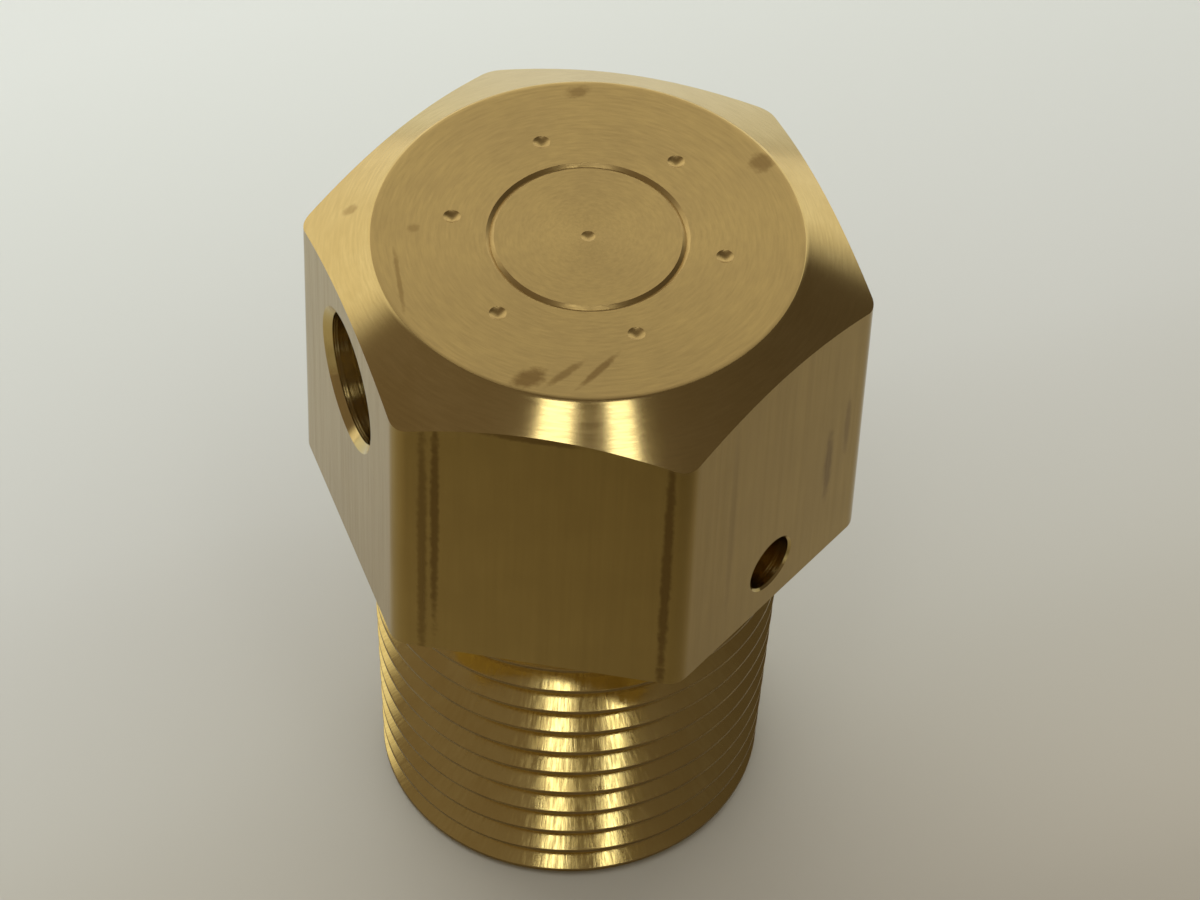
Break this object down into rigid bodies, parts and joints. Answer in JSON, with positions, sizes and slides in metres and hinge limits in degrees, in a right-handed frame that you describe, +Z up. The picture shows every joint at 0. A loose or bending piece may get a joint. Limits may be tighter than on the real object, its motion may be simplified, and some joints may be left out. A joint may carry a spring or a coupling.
{
  "type": "vent limiter",
  "caption": "Brass ball-check vent limiter: hex head with a large vent port and a small bleed port, on a taper-threaded stem.",
  "frame": {"origin": "centre of the stem's lower end face, on the body's axis, which is the bottom centre of the bounding box", "axes": "+Z up along the body's axis, from the threaded stem to the top face; the hexagon has flats at +X and -X, the large vent port opens towards -X, and the small bleed port opens 120 degrees further round, towards +X and -Y"},
  "size_m": [0.0254, 0.029, 0.0399],
  "materials": {
    "body_brass": "turned and drawn brass, satin, lightly stained",
    "seat_brass": "finely turned",
    "ball_steel": "polished stainless steel",
    "retainer_steel": "stamped stainless steel",
    "spring_steel": "dark spring steel",
    "jet_brass": "finely turned"
  },
  "bodies": {
    "valve_body": {"hex_body": "body_brass", "seat_ring": "seat_brass", "ball_retainer": "retainer_steel", "retaining_ring": "spring_steel", "bleed_jet": "jet_brass"},
    "ball": {"check_ball": "ball_steel"}
  },
  "joints": [
    {"name": "ball_lift", "type": "slide", "parent": "valve_body", "child": "ball", "axis": [0, 0, 1], "range_m": [0, 0.005]}
  ]
}
